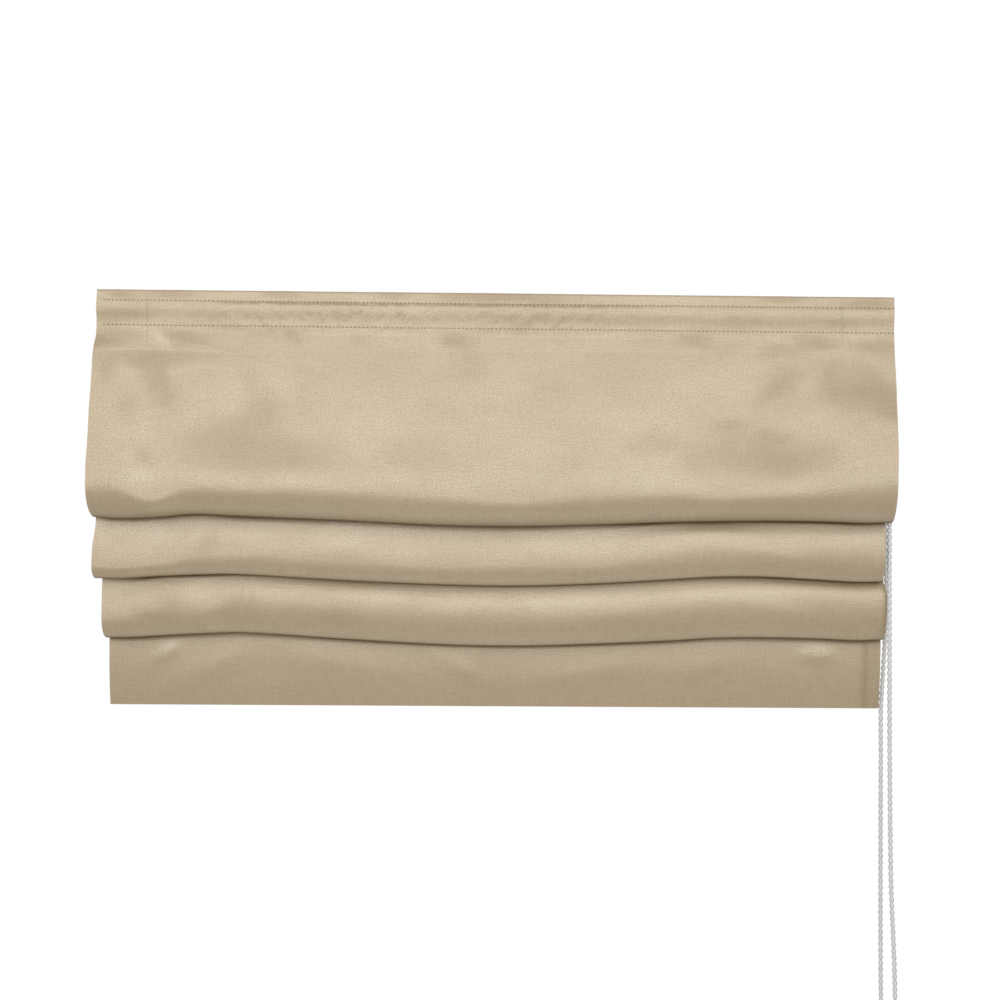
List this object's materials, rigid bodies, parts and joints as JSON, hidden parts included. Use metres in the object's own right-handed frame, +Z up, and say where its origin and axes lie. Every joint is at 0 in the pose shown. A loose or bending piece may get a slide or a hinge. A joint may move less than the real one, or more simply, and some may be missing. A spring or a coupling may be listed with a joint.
{
  "type": "roman shade with head rail and bead chain",
  "caption": "A satin roman shade, partly raised into soft stacked folds, hung from a plain head rail, with an endless bead chain at its right end.",
  "frame": {"origin": "the middle of the head rail's flat wall face", "axes": "+Z up, +Y towards the wall, -Y towards the room, +X to the right as seen from the room, along the rail"},
  "size_m": [0.7476, 0.0665, 0.7436],
  "materials": {
    "satin": "woven satin with a soft sheen and a fine grain",
    "rail": "white powder coat",
    "drive": "plain white moulded plastic",
    "beads": "glossy white plastic beads"
  },
  "bodies": {
    "root": {"shade_cloth": "satin", "head_rail": "rail", "end_cap": "drive", "chain_drive": "drive", "chain_wheel": "drive", "bead_chain": "beads"}
  },
  "joints": []
}
